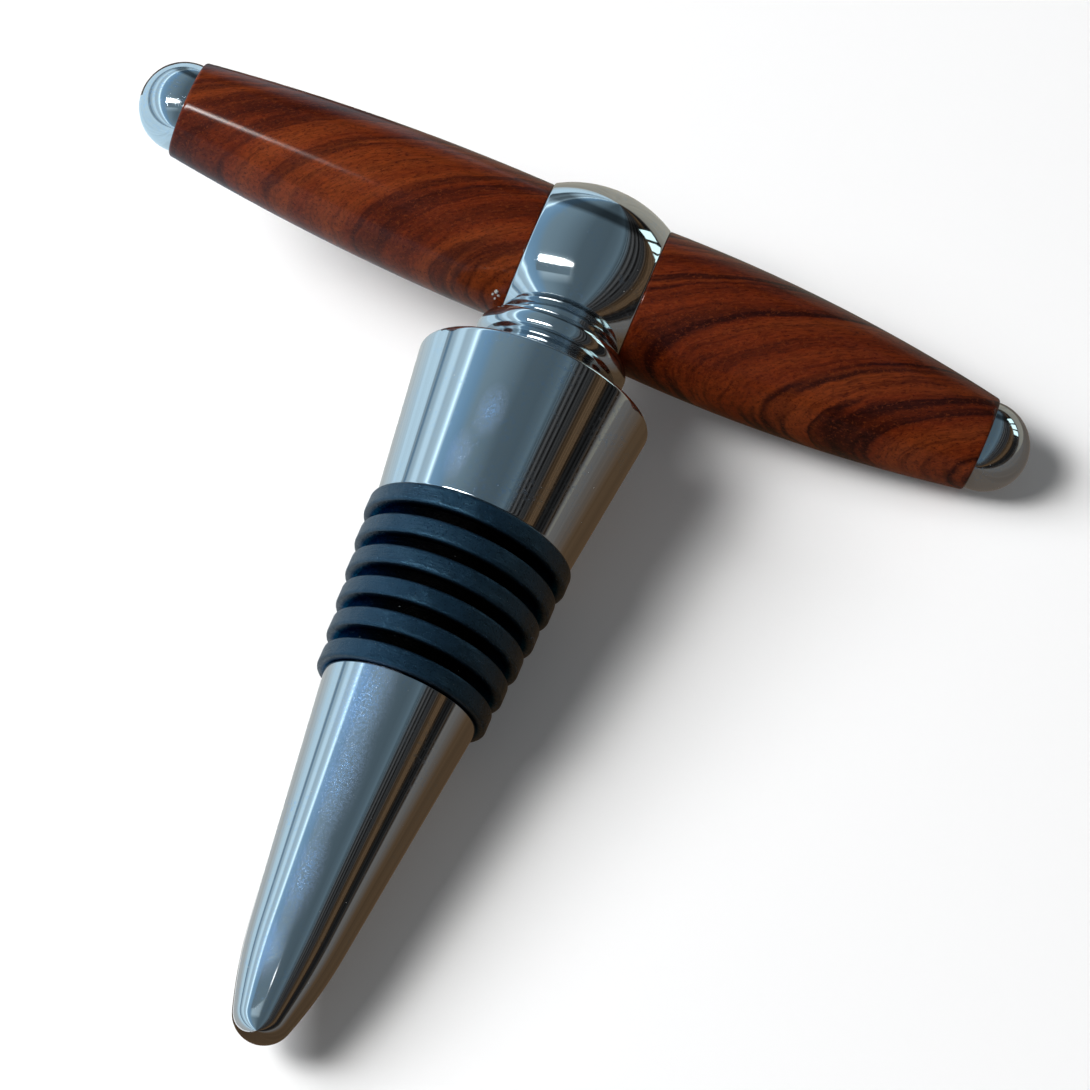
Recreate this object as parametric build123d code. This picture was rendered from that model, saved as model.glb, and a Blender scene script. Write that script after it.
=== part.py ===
from build123d import *
import os
from math import asin, atan2, cos, degrees, hypot, sin, sqrt

# Bottle stopper with a cross handle, lying on its side as it comes to rest.
# Lengths are in millimetres. Each piece is first made about its own two axes:
# local X runs along the handle and local Z runs down the stem to the nose,
# and they cross in the middle of the hub. One placement then lays it all down.

# Hub
hub_width = 12.4
hub_mid_diameter = 18.3
hub_end_diameter = 14.9
hub_edge_round = 0.25

# Neck and foot of the hub, measured along the stem from the handle's axis
neck_diameter = 12.0
bead_centre = 9.2
bead_round = 1.5
bead_root_diameter = 12.7
foot_cove = 2.4
foot_lip = 0.35

# Wooden grips, turned by hand, so the right one is a little fuller
grip_length = 36.6
right_crown_diameter = 15.1
right_crown_from_hub = 6.0
right_outer_diameter = 9.7
left_crown_diameter = 14.5
left_crown_from_hub = 2.8
left_outer_diameter = 9.9
grip_inner_edge_round = 0.15
grip_outer_edge_round = 0.35

# Domed end caps
cap_diameter = 9.1
cap_skirt = 0.3

# Rod through the hub and both grips
rod_diameter = 4.0
rod_into_cap = 2.8
rod_end_gap = 0.3
rod_bore_clearance = 0.1
rod_chamfer = 0.4

# Collar
collar_length = 16.8
collar_top_diameter = 24.2
collar_bottom_diameter = 20.0
collar_rim_round = 0.45
collar_bottom_round = 0.3

# Rubber sleeve
sleeve_length = 18.1
sleeve_bore = 13.0
rib_count = 6
rib_width = 2.0
rib_edge_round = 0.3
first_rib_diameter = 21.0
last_rib_diameter = 17.4
groove_depth = 1.1

# Nose
nose_length = 36.4
nose_top_diameter = 15.7
nose_cone_length = 25.6
nose_cone_end_diameter = 9.5
nose_tip_round = 3.0
nose_top_round = 0.2

# Stud that joins the hub to the stopper
stud_diameter = 6.0
stud_into_hub = 5.2
stud_into_collar = 8.0
stud_end_gap = 0.6
stud_chamfer = 0.5
drill_point_slope = 0.6

# Places along the stem
hub_foot_end = bead_centre + bead_round + foot_cove + foot_lip
collar_top = hub_foot_end
collar_bottom = collar_top + collar_length
nose_top = collar_bottom + sleeve_length
nose_end = nose_top + nose_length

# Places along the handle
hub_face = hub_width / 2
grip_end = hub_face + grip_length
cap_dome_centre = grip_end + cap_skirt


def turned_on_stem(outline):
    """Turn an outline of (radius, place along the stem) about the stem."""
    return revolve(Plane.XZ * make_face(outline), Axis.Z)


def turned_on_handle(outline):
    """Turn an outline of (place along the handle, radius) about the handle."""
    return revolve(make_face(outline), Axis.X)


def drilled_hole(diameter, mouth, depth, way):
    """A hole along the stem with a drill's conical end, from its mouth inwards."""
    radius = diameter / 2
    end = mouth + way * depth
    point = end + way * radius * drill_point_slope
    outline = Polyline((0, mouth), (radius, mouth), (radius, end), (0, point), close=True)
    return turned_on_stem(outline)


def handle_bore(diameter, start, end):
    """The space of a plain round hole along the handle."""
    bar = Cylinder(diameter / 2, end - start, align=(Align.CENTER, Align.CENTER, Align.MIN))
    return Plane(origin=(start, 0, 0), z_dir=(1, 0, 0)) * bar


def round_bar(diameter, start, end, chamfer_size):
    """Outline of half a bar with chamfered ends, as (place along, radius)."""
    radius = diameter / 2
    return Polyline(
        (start, 0),
        (start, radius - chamfer_size),
        (start + chamfer_size, radius),
        (end - chamfer_size, radius),
        (end, radius - chamfer_size),
        (end, 0),
        close=True,
    )


# Hub: a barrel across the stem, with a beaded foot below it
def make_hub():
    end_radius = hub_end_diameter / 2
    barrel_face = make_face(
        Line((-hub_face, 0), (-hub_face, end_radius))
        + ThreePointArc((-hub_face, end_radius), (0, hub_mid_diameter / 2), (hub_face, end_radius))
        + Line((hub_face, end_radius), (hub_face, 0))
        + Line((hub_face, 0), (-hub_face, 0))
    )
    outer_corners = barrel_face.vertices().group_by(Axis.Y)[-1]
    barrel = revolve(fillet(outer_corners, hub_edge_round), Axis.X)

    neck_radius = neck_diameter / 2
    root_radius = bead_root_diameter / 2
    bead_start = bead_centre - bead_round
    bead_end = bead_centre + bead_round
    lip_start = bead_end + foot_cove
    foot_radius = root_radius + foot_cove
    cove_mid = foot_cove * sqrt(0.5)
    foot = turned_on_stem(
        Polyline((0, 0), (neck_radius, 0), (neck_radius, bead_start), (root_radius, bead_start))
        + ThreePointArc(
            (root_radius, bead_start),
            (root_radius + bead_round, bead_centre),
            (root_radius, bead_end),
        )
        + ThreePointArc(
            (root_radius, bead_end),
            (foot_radius - cove_mid, bead_end + cove_mid),
            (foot_radius, lip_start),
        )
        + Polyline((foot_radius, lip_start), (foot_radius, hub_foot_end), (0, hub_foot_end), (0, 0))
    )
    rod_bore = handle_bore(rod_diameter, -hub_width, hub_width)
    stud_hole = drilled_hole(stud_diameter, hub_foot_end, stud_into_hub + stud_end_gap, -1)
    return barrel + foot - rod_bore - stud_hole


# Grip: one long arc, fattest near the hub, bored for the rod
def grip_arc(crown_diameter, crown_from_hub, outer_diameter):
    """Radius of a grip's long arc, and the place and height of its centre."""
    crown_place = hub_face + crown_from_hub
    run = grip_end - crown_place
    drop = (crown_diameter - outer_diameter) / 2
    arc_radius = (run**2 + drop**2) / (2 * drop)
    return arc_radius, crown_place, crown_diameter / 2 - arc_radius


def make_grip(crown_diameter, crown_from_hub, outer_diameter):
    outer_radius = outer_diameter / 2
    bore_radius = rod_diameter / 2 + rod_bore_clearance
    arc_radius, crown_place, centre_height = grip_arc(
        crown_diameter, crown_from_hub, outer_diameter
    )

    def arc_height(place):
        return centre_height + sqrt(arc_radius**2 - (place - crown_place) ** 2)

    inner_radius = arc_height(hub_face)
    middle = (hub_face + grip_end) / 2
    face = make_face(
        Line((hub_face, bore_radius), (hub_face, inner_radius))
        + ThreePointArc(
            (hub_face, inner_radius),
            (middle, arc_height(middle)),
            (grip_end, outer_radius),
        )
        + Line((grip_end, outer_radius), (grip_end, bore_radius))
        + Line((grip_end, bore_radius), (hub_face, bore_radius))
    )
    for corner, size in (
        ((hub_face, inner_radius), grip_inner_edge_round),
        ((grip_end, outer_radius), grip_outer_edge_round),
    ):
        face = fillet(face.vertices().sort_by_distance(corner)[0], size)
    return revolve(face, Axis.X)


# End cap: a short skirt and a hemisphere, with a blind hole for the rod
def make_cap():
    radius = cap_diameter / 2
    dome_mid = radius * sqrt(0.5)
    dome = turned_on_handle(
        Polyline((cap_dome_centre, 0), (grip_end, 0), (grip_end, radius), (cap_dome_centre, radius))
        + ThreePointArc(
            (cap_dome_centre, radius),
            (cap_dome_centre + dome_mid, dome_mid),
            (cap_dome_centre + radius, 0),
        )
        + Line((cap_dome_centre + radius, 0), (cap_dome_centre, 0))
    )
    hole_end = grip_end + rod_into_cap + rod_end_gap
    return dome - handle_bore(rod_diameter, hub_face, hole_end)


def make_rod():
    rod_end = grip_end + rod_into_cap
    return turned_on_handle(round_bar(rod_diameter, -rod_end, rod_end, rod_chamfer))


# Stopper body: collar, spigot and nose turned as one
def make_stopper_body():
    collar_top_radius = collar_top_diameter / 2
    collar_bottom_radius = collar_bottom_diameter / 2
    spigot_radius = sleeve_bore / 2
    nose_radius = nose_top_diameter / 2
    cone_end_radius = nose_cone_end_diameter / 2
    cone_end = nose_top + nose_cone_length

    # The nose closes in one arc, tangent to its cone and to its round tip
    cone_slope = atan2(nose_radius - cone_end_radius, nose_cone_length)
    tip_centre = nose_end - nose_tip_round
    along = tip_centre - cone_end
    normal_along = sin(cone_slope)
    normal_out = cos(cone_slope)
    reach = along * normal_along - cone_end_radius * normal_out
    closing_radius = (along**2 + cone_end_radius**2 - nose_tip_round**2) / (
        -2 * (reach + nose_tip_round)
    )
    centre_out = cone_end_radius - closing_radius * normal_out
    centre_along = cone_end - closing_radius * normal_along
    turn = atan2(-centre_out, tip_centre - centre_along)
    tip_start = (
        centre_out + closing_radius * sin(turn),
        centre_along + closing_radius * cos(turn),
    )
    mid_turn = (turn + atan2(normal_out, normal_along)) / 2
    closing_mid = (
        centre_out + closing_radius * sin(mid_turn),
        centre_along + closing_radius * cos(mid_turn),
    )
    tip_mid = (
        nose_tip_round * sin(turn / 2),
        tip_centre + nose_tip_round * cos(turn / 2),
    )
    face = make_face(
        Polyline(
            (0, collar_top),
            (collar_top_radius, collar_top),
            (collar_bottom_radius, collar_bottom),
            (spigot_radius, collar_bottom),
            (spigot_radius, nose_top),
            (nose_radius, nose_top),
            (cone_end_radius, cone_end),
        )
        + ThreePointArc((cone_end_radius, cone_end), closing_mid, tip_start)
        + ThreePointArc(tip_start, tip_mid, (0, nose_end))
        + Line((0, nose_end), (0, collar_top))
    )
    for corner, size in (
        ((collar_top_radius, collar_top), collar_rim_round),
        ((collar_bottom_radius, collar_bottom), collar_bottom_round),
        ((nose_radius, nose_top), nose_top_round),
    ):
        face = fillet(face.vertices().sort_by_distance(corner)[0], size)
    body = revolve(Plane.XZ * face, Axis.Z)
    return body - drilled_hole(stud_diameter, collar_top, stud_into_collar + stud_end_gap, 1)


def rib_radius(number):
    """Radius of a rib, counted from 0 at the collar."""
    first_radius = first_rib_diameter / 2
    last_radius = last_rib_diameter / 2
    return first_radius + (last_radius - first_radius) * number / (rib_count - 1)


def rib_top(number):
    """Place along the stem where a rib starts."""
    return collar_bottom + (sleeve_length - rib_width) * number / (rib_count - 1)


# Rubber sleeve: a tapered tube with rounded ribs, each smaller than the one above
def make_sleeve():
    bore_radius = sleeve_bore / 2
    section = Sketch() + make_face(
        Polyline(
            (bore_radius, collar_bottom),
            (first_rib_diameter / 2 - groove_depth, collar_bottom),
            (last_rib_diameter / 2 - groove_depth, nose_top),
            (bore_radius, nose_top),
            close=True,
        )
    )
    for number in range(rib_count):
        radius = rib_radius(number)
        top = rib_top(number)
        rib = make_face(
            Polyline(
                (bore_radius, top),
                (radius, top),
                (radius, top + rib_width),
                (bore_radius, top + rib_width),
                close=True,
            )
        )
        rib = fillet(rib.vertices().group_by(Axis.X)[-1], rib_edge_round)
        section += rib
    return revolve(Plane.XZ * section, Axis.Z)


def make_stud():
    outline = round_bar(
        stud_diameter, hub_foot_end - stud_into_hub, collar_top + stud_into_collar, stud_chamfer
    )
    along_stem = Plane(origin=(0, 0, 0), x_dir=(0, 0, 1), z_dir=(0, -1, 0))
    return along_stem * turned_on_handle(outline)


# Rest: the stem lies on the collar's rim and the rib that touches first, nose
# down, and the handle's right end drops until its grip or its cap touches.
def dip_onto(ring_drop, ring_run):
    """Dip of a line that rests on the rim's rounding and on a rib's."""
    round_drop = collar_rim_round - rib_edge_round
    return atan2(ring_drop, ring_run) + asin(round_drop / hypot(ring_drop, ring_run))


def resting_turns():
    """Angles by which the stem dips and the handle rolls, in radians."""
    slope = (collar_top_diameter - collar_bottom_diameter) / 2 / collar_length
    rim_ring = collar_top_diameter / 2 - collar_rim_round * (slope + hypot(1, slope))
    rim_place = collar_top + collar_rim_round
    dip = min(
        dip_onto(
            rim_ring - (rib_radius(number) - rib_edge_round),
            rib_top(number) + rib_width - rib_edge_round - rim_place,
        )
        for number in range(rib_count)
    )
    axis_height = rim_ring * cos(dip) + collar_rim_round + rim_place * sin(dip)

    outer_radius = right_outer_diameter / 2
    _, crown_place, centre_height = grip_arc(
        right_crown_diameter, right_crown_from_hub, right_outer_diameter
    )
    end_slope = (grip_end - crown_place) / (outer_radius - centre_height)
    edge_rise = end_slope - hypot(1, end_slope)
    edge_ring = outer_radius + grip_outer_edge_round * edge_rise
    edge_place = grip_end - grip_outer_edge_round
    edge_reach = hypot(edge_place, edge_ring)
    grip_roll = asin((axis_height - grip_outer_edge_round) / edge_reach) - atan2(edge_ring, edge_place)
    cap_roll = asin((axis_height - cap_diameter / 2) / cap_dome_centre)
    roll = asin(sin(min(grip_roll, cap_roll)) / cos(dip))
    return dip, roll


def lay_down(pieces):
    """Lay the pieces down and stand them on the middle of their box's floor."""
    dip, roll = resting_turns()
    handle_way = (cos(roll), sin(roll) * sin(dip), -sin(roll) * cos(dip))
    stem_way = (0, -cos(dip), -sin(dip))
    lying = Plane(origin=(0, 0, 0), x_dir=handle_way, z_dir=stem_way).location
    laid = {name: lying * piece.solid() for name, piece in pieces.items()}
    box = Compound(laid.values()).bounding_box()
    middle_x = (box.min.X + box.max.X) / 2
    middle_y = (box.min.Y + box.max.Y) / 2
    settle = Location((-middle_x, -middle_y, -box.min.Z))
    print("stem dips", round(degrees(dip), 2), "handle rolls", round(degrees(roll), 2), "degrees")
    print("handle's axis crosses the stem at", settle.position)
    return {name: settle * piece for name, piece in laid.items()}


right_grip = make_grip(right_crown_diameter, right_crown_from_hub, right_outer_diameter)
left_grip = make_grip(left_crown_diameter, left_crown_from_hub, left_outer_diameter)
right_cap = make_cap()
pieces = {
    "hub": make_hub(),
    "handle_rod": make_rod(),
    "right_grip": right_grip,
    "left_grip": mirror(left_grip, Plane.YZ),
    "right_cap": right_cap,
    "left_cap": mirror(right_cap, Plane.YZ),
    "stopper_body": make_stopper_body(),
    "rubber_sleeve": make_sleeve(),
    "joining_stud": make_stud(),
}

os.makedirs("parts", exist_ok=True)
for name, piece in lay_down(pieces).items():
    piece.label = name
    export_step(piece, f"parts/{name}.step")
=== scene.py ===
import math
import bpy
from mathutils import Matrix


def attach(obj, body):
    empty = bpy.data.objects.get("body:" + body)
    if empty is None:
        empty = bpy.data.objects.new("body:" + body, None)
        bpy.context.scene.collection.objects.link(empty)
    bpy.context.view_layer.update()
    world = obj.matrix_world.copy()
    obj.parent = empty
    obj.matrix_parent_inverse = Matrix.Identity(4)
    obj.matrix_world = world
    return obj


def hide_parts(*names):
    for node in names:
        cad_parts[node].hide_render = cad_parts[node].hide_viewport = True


bl_info = {
    "name": "Bottle stopper",
    "version": (1, 0, 0),
    "blender": (4, 5, 0),
    "location": "View3D > Sidebar > Stopper",
    "description": "Models a bottle stopper with a wooden cross handle and lights it",
    "category": "Object",
}

import bpy
from mathutils import Matrix, Vector

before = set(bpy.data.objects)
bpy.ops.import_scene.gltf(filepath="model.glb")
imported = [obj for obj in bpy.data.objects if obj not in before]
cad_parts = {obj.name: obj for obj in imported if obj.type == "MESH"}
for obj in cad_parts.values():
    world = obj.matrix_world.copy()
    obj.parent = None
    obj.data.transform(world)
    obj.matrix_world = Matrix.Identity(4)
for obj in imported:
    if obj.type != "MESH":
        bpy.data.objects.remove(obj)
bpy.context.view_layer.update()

MM = 0.001
CROSSING = (0.0, 37.6517 * MM, 13.1805 * MM)
STEM_DIP = math.radians(4.8791)
HANDLE_ROLL = math.radians(11.404)
TURNS = 160
SMOOTH_ANGLE = math.radians(32)
PLATING_ROUGHNESS = 0.055
MERGE_DISTANCE = 1e-6
# From a rounded corner to its supporting point, in roundings
SUPPORT = 0.6
# How far the foot's neck starts inside the barrel, in neck radii
NECK_INSIDE = 0.66
# The painted shade that blackens the grooves: where it starts below the ribs' tops, in
# millimetres, and over which share of a groove's depth it becomes full
SHADE_START = 0.15
SHADE_SHARE = 0.45

# The stage, in metres
FLOOR_SIZE = 6.0
TENT_RADIUS = 2.0
TENT_FOOT = -0.02
# Where the tones of the cards on the floor end, from the stem
FAR_TONE = 0.3
ALONG_HANDLE = (0.93, 0.0, 0.37)
LAMP_CARD_PLACE = (-0.33, -0.35, 0.93)
HALO_PLACE = (-0.33, -0.50, 0.90)
FLAG_PLACE = (-0.110, -0.130, 0.272)
PANE_DISTANCE = 1.3
PANE_HEIGHT = 0.21
PANE_TURNS = (41, 52, 63)
# Soft lamps: name, place, size, watts and tint
LAMPS = (
    ("high_lamp", (-0.60, -0.28, 0.99), 0.40, 8.4, (1.0, 0.99, 0.97)),
    ("low_lamp", (-0.85, -0.15, 0.81), 0.60, 12.2, (0.98, 0.99, 1.0)),
)
# Strengths: the light from all round, and the floor's own light where it is seen
WORLD_LIGHT = 0.12
FLOOR_LIFT = 0.05

# The camera: its place and lens in millimetres, and its ways to the right and forward
CAMERA_PLACE = (90.42, -181.07, 392.44)
CAMERA_RIGHT = (0.92919, 0.36911, -0.01892)
CAMERA_FORWARD = (-0.19186, 0.43796, -0.87828)
LENS = 148.372
SENSOR_WIDTH = 36.0

# Greasy marks: across, up and along the stem, then their width and length, in millimetres
SMUDGES = (
    (-2.9, 6.8, 52.1, 2.9, 8.0),
    (-2.1, 6.4, 60.0, 2.3, 9.0),
    (-1.5, 5.0, 69.5, 1.7, 7.0),
    (-1.8, 4.3, 77.0, 1.6, 4.5),
    (-2.8, 10.7, 21.6, 1.6, 3.2),
    (-4.3, 10.2, 27.0, 1.6, 3.4),
)
# Crumbs of glue: from the hub's side in millimetres, round the grip in degrees, and size
CRUMBS = (
    (0.70, 22.0, 0.15),
    (1.05, 25.0, 0.20),
    (1.30, 21.0, 0.12),
    (0.95, 17.5, 0.11),
)


# Settings

def length(name, description, millimetres):
    """A length that a user can change, kept in metres."""
    return bpy.props.FloatProperty(
        name=name, description=description, default=millimetres * MM,
        min=0.0, precision=5, unit="LENGTH",
    )


def colour(name, description, red, green, blue):
    """A colour that a user can change."""
    return bpy.props.FloatVectorProperty(
        name=name, description=description, default=(red, green, blue),
        size=3, min=0.0, max=1.0, subtype="COLOR",
    )


class StopperHub(bpy.types.PropertyGroup):
    """Sizes of the hub and its foot."""

    width: length("Width", "Width of the barrel along the handle", 12.4)
    mid_diameter: length("Middle diameter", "Diameter of the barrel at its middle", 18.3)
    end_diameter: length("End diameter", "Diameter of the barrel at its two ends", 14.9)
    edge_round: length("Edge rounding", "Rounding of the barrel's edges", 0.25)
    neck_diameter: length("Neck diameter", "Diameter of the neck under the barrel", 12.0)
    bead_centre: length("Bead centre", "Middle of the bead, from the handle's axis", 9.2)
    bead_round: length("Bead rounding", "Radius of the bead's section", 1.5)
    bead_root: length("Bead root diameter", "Diameter the bead stands on", 12.7)
    cove: length("Cove", "Radius of the hollow under the bead", 2.4)
    lip: length("Lip", "Height of the thin lip at the foot", 0.35)


class StopperGrip(bpy.types.PropertyGroup):
    """Sizes of the two wooden grips."""

    length: length("Length", "Length of one grip", 36.6)
    right_crown: length("Right crown diameter", "Diameter at the fattest place", 15.1)
    right_crown_place: length("Right crown place", "Fattest place from the hub", 6.0)
    right_outer: length("Right outer diameter", "Diameter at the cap", 9.7)
    left_crown: length("Left crown diameter", "Diameter at the fattest place", 14.5)
    left_crown_place: length("Left crown place", "Fattest place from the hub", 2.8)
    left_outer: length("Left outer diameter", "Diameter at the cap", 9.9)
    inner_round: length("Inner edge rounding", "Rounding of the edge at the hub", 0.15)
    outer_round: length("Outer edge rounding", "Rounding of the edge at the cap", 0.35)
    bore: length("Bore", "Diameter of the hole for the rod", 4.2)


class StopperCap(bpy.types.PropertyGroup):
    """Sizes of the domed end caps."""

    diameter: length("Diameter", "Diameter of the cap", 9.1)
    skirt: length("Skirt", "Straight part of the cap below its dome", 0.3)
    hole_diameter: length("Hole diameter", "Diameter of the hole for the rod", 4.0)
    hole_depth: length("Hole depth", "Depth of the hole for the rod", 3.1)


class StopperBody(bpy.types.PropertyGroup):
    """Sizes of the collar, the spigot and the nose."""

    collar_length: length("Collar length", "Length of the tapered collar", 16.8)
    collar_top: length("Collar top diameter", "Diameter at the collar's rim", 24.2)
    collar_bottom: length("Collar bottom diameter", "Diameter at the rubber", 20.0)
    rim_round: length("Rim rounding", "Rounding of the collar's rim", 0.45)
    bottom_round: length("Bottom rounding", "Rounding of the collar's lower edge", 0.3)
    nose_length: length("Nose length", "Length of the nose", 36.4)
    nose_top: length("Nose top diameter", "Diameter of the nose at the rubber", 15.7)
    cone_length: length("Cone length", "Straight part of the nose", 25.6)
    cone_end: length("Cone end diameter", "Diameter where the nose starts to close", 9.5)
    tip_round: length("Tip radius", "Radius of the nose's round tip", 3.0)
    top_round: length("Top edge rounding", "Rounding of the nose's upper edge", 0.2)
    hole_diameter: length("Hole diameter", "Diameter of the hole for the stud", 6.0)
    hole_depth: length("Hole depth", "Depth of the hole for the stud", 8.6)


class StopperSleeve(bpy.types.PropertyGroup):
    """Sizes of the ribbed rubber sleeve."""

    length: length("Length", "Length of the sleeve", 18.1)
    bore: length("Bore", "Inside diameter", 13.0)
    ribs: bpy.props.IntProperty(name="Ribs", description="Number of ribs", default=6, min=2, max=12)
    rib_width: length("Rib width", "Width of one rib along the stem", 2.0)
    rib_round: length("Rib rounding", "Rounding of a rib's edges", 0.3)
    first_rib: length("First rib diameter", "Diameter of the rib at the collar", 21.0)
    last_rib: length("Last rib diameter", "Diameter of the rib at the nose", 17.4)
    groove: length("Groove depth", "Depth of the grooves between ribs", 1.1)


class StopperFinish(bpy.types.PropertyGroup):
    """Colours of the finishes."""

    chrome: colour("Chrome", "Reflected colour of the plating", 0.60, 0.635, 0.66)
    wood_mid: colour("Wood", "Main colour of the wood", 0.104, 0.0135, 0.0018)
    wood_light: colour("Light wood", "Colour of the light bands", 0.180, 0.035, 0.006)
    wood_dark: colour("Dark wood", "Colour of the dark streaks", 0.012, 0.001, 0.0005)
    rubber: colour("Rubber", "Colour of the rubber", 0.002, 0.005, 0.009)
    steel: colour("Steel", "Colour of the hidden rod and stud", 0.45, 0.45, 0.46)
    haze: colour("Haze", "Colour of greasy marks on the plating", 0.34, 0.58, 0.92)
    dust: colour("Dust", "Colour of dust and dried glue", 0.52, 0.53, 0.51)


class StopperStudio(bpy.types.PropertyGroup):
    """Colours and levels of the stage."""

    floor: colour("Floor", "Colour of the floor", 0.86, 0.86, 0.865)
    sky: colour("Sky", "Light that chrome shows at its left", 0.64, 0.86, 1.00)
    blue: colour("Blue", "Light that chrome shows high at its left", 0.26, 0.46, 0.66)
    slate: colour("Slate", "Light that chrome shows from above", 0.100, 0.145, 0.175)
    shade: colour("Shade", "Darkest light that chrome shows at its right", 0.012, 0.012, 0.012)
    brown: colour("Brown", "Light that chrome shows low at its right", 0.120, 0.075, 0.042)
    glow: colour("Glow", "Tint of the lamp over the handle", 1.00, 0.98, 0.95)


GROUPS = {
    "stopper_hub": StopperHub,
    "stopper_grip": StopperGrip,
    "stopper_cap": StopperCap,
    "stopper_body": StopperBody,
    "stopper_sleeve": StopperSleeve,
    "stopper_finish": StopperFinish,
    "stopper_studio": StopperStudio,
}


# Placing

def stem_way():
    """Unit vector down the stem, from the handle to the nose."""
    return Vector((0.0, -math.cos(STEM_DIP), -math.sin(STEM_DIP)))


def handle_way():
    """Unit vector along the handle, towards its low end."""
    return Vector((
        math.cos(HANDLE_ROLL),
        math.sin(HANDLE_ROLL) * math.sin(STEM_DIP),
        -math.sin(HANDLE_ROLL) * math.cos(STEM_DIP),
    ))


def up_way():
    """Unit vector across both, on the upper side of the lying stopper."""
    return stem_way().cross(handle_way())


def lying(along, across):
    """Matrix that lays a piece turned about Z along one way, its X across it."""
    third = along.cross(across)
    turned = Matrix((across, third, along)).transposed().to_4x4()
    return Matrix.Translation(CROSSING) @ turned


def on_stem():
    """Placement of a piece that is turned about the stem."""
    return lying(stem_way(), handle_way())


def on_handle(side):
    """Placement of a piece that is turned about the handle, on side 1 or -1."""
    return lying(side * handle_way(), -stem_way())


def foot_end(hub):
    """Distance from the handle's axis to the end of the hub's foot."""
    return hub.bead_centre + hub.bead_round + hub.cove + hub.lip


# Sections: lists of (along, out) points of half a turned shape

def arc(centre, radius, start, end, steps):
    """Points on an arc about a centre, its angles measured from the axis."""
    points = []
    for step in range(steps + 1):
        angle = start + (end - start) * step / steps
        points.append((
            centre[0] + radius * math.cos(angle),
            centre[1] + radius * math.sin(angle),
        ))
    return points


def rounded(before, corner, after, size, steps=5):
    """Points that round a corner between two straight runs, with a supporting
    point on each side that keeps the long faces flat in the reflections."""
    here = Vector(corner)
    to_before = (Vector(before) - here).normalized()
    to_after = (Vector(after) - here).normalized()
    half = to_before.angle(to_after) / 2
    reach = size / math.tan(half)
    centre = here + (to_before + to_after).normalized() * (size / math.sin(half))
    first = here + to_before * reach
    last = here + to_after * reach
    turn = (first - centre).angle_signed(last - centre)
    points = [tuple(first + to_before * size * SUPPORT), tuple(first)]
    for step in range(1, steps):
        spoke = first - centre
        spoke.rotate(Matrix.Rotation(-turn * step / steps, 2))
        points.append(tuple(centre + spoke))
    return points + [tuple(last), tuple(last + to_after * size * SUPPORT)]


# Modelling

def select_only(*pieces):
    """Select these pieces and nothing else, with the first one active."""
    bpy.ops.object.select_all(action="DESELECT")
    for piece in pieces:
        piece.select_set(True)
    if pieces:
        bpy.context.view_layer.objects.active = pieces[0]


def turn_section(name, section, turns=TURNS):
    """Draw half a section point by point from one vertex, and spin it about Z."""
    select_only()
    along, out = section[0]
    bpy.ops.mesh.primitive_plane_add(size=MM, location=(out, 0.0, along))
    piece = bpy.context.object
    piece.name = name
    bpy.ops.object.mode_set(mode="EDIT")
    bpy.ops.mesh.merge(type="CENTER")
    for (along, out), (next_along, next_out) in zip(section, section[1:]):
        bpy.ops.mesh.extrude_vertices_move(
            TRANSFORM_OT_translate={"value": (next_out - out, 0.0, next_along - along)}
        )
    bpy.ops.mesh.select_all(action="SELECT")
    bpy.ops.mesh.spin(
        steps=turns, angle=math.tau, center=(0.0, 0.0, 0.0), axis=(0.0, 0.0, 1.0)
    )
    bpy.ops.mesh.select_all(action="SELECT")
    bpy.ops.mesh.remove_doubles(threshold=MERGE_DISTANCE)
    bpy.ops.mesh.normals_make_consistent(inside=False)
    bpy.ops.object.mode_set(mode="OBJECT")
    bpy.ops.object.transform_apply(location=True, rotation=False, scale=False)
    return piece


def lay(piece, placement):
    """Lay a piece in its place, and keep the place in its mesh."""
    select_only(piece)
    piece.matrix_world = placement
    bpy.ops.object.transform_apply(location=True, rotation=True, scale=True)
    return piece


def smooth(piece):
    """Shade a piece smooth, apart from its sharp edges."""
    select_only(piece)
    bpy.ops.object.shade_smooth_by_angle(angle=SMOOTH_ANGLE)
    return piece


def cut_with(piece, tool, operation):
    """Join or cut a piece with another solid, which is used up."""
    select_only(piece)
    modifier = piece.modifiers.new(operation.lower(), "BOOLEAN")
    modifier.operation = operation
    modifier.solver = "EXACT"
    modifier.object = tool
    bpy.ops.object.modifier_apply(modifier=modifier.name)
    select_only(tool)
    bpy.ops.object.delete()
    return piece


def finish_piece(piece, material, slot_name, *nodes):
    """Give a finished piece its material and body, and hide the CAD nodes it shows in their place.
    Its slot name is not used.
    """
    smooth(piece)
    piece.data.materials.clear()
    piece.data.materials.append(material)
    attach(piece, "root")
    if nodes:
        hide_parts(*nodes)
    return piece


# Shader building

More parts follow.
